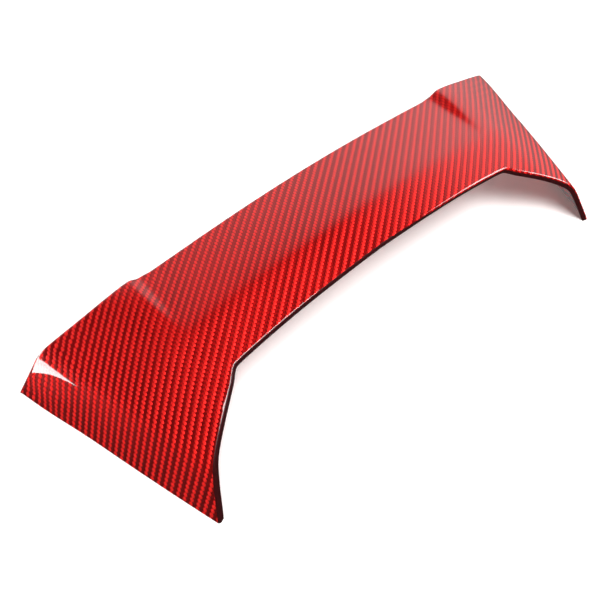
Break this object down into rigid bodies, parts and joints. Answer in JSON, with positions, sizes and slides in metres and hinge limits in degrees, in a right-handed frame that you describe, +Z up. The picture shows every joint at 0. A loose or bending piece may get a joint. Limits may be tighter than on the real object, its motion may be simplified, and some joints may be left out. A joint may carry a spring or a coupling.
{
  "type": "rear wing",
  "caption": "Thin moulded twill-carbon wing shell with raised end pads and turned-down end flanges, taped and bolted on from below.",
  "frame": {"origin": "middle of the footprint on the plane that the flange feet stand on", "axes": "+X along the span, to the right seen from the front; +Y to the back edge; +Z up"},
  "size_m": [0.505, 0.1666, 0.0731],
  "materials": {
    "carbon_laminate": "red 2x2 twill cloth under a clear gloss coat",
    "foam_tape": "closed-cell acrylic foam tape",
    "release_liner": "siliconised film liner",
    "zinc_steel": "zinc-plated steel",
    "structural_adhesive": "cured black methacrylate adhesive",
    "foam_gasket": "EPDM foam washer"
  },
  "bodies": {
    "root": {"wing_skin": "carbon_laminate", "tape_back_left": "foam_tape", "liner_back_left": "release_liner", "tape_back_centre": "foam_tape", "liner_back_centre": "release_liner", "tape_back_right": "foam_tape", "liner_back_right": "release_liner", "tape_front_left": "foam_tape", "liner_front_left": "release_liner", "tape_front_centre": "foam_tape", "liner_front_centre": "release_liner", "tape_front_right": "foam_tape", "liner_front_right": "release_liner", "tape_pad_left": "foam_tape", "liner_pad_left": "release_liner", "tape_pad_right": "foam_tape", "liner_pad_right": "release_liner", "tape_end_left": "foam_tape", "liner_end_left": "release_liner", "tape_end_right": "foam_tape", "liner_end_right": "release_liner", "insert_back_left": "zinc_steel", "adhesive_back_left": "structural_adhesive", "gasket_back_left": "foam_gasket", "insert_back_right": "zinc_steel", "adhesive_back_right": "structural_adhesive", "gasket_back_right": "foam_gasket", "insert_front_left": "zinc_steel", "adhesive_front_left": "structural_adhesive", "gasket_front_left": "foam_gasket", "insert_front_right": "zinc_steel", "adhesive_front_right": "structural_adhesive", "gasket_front_right": "foam_gasket"}
  },
  "joints": []
}
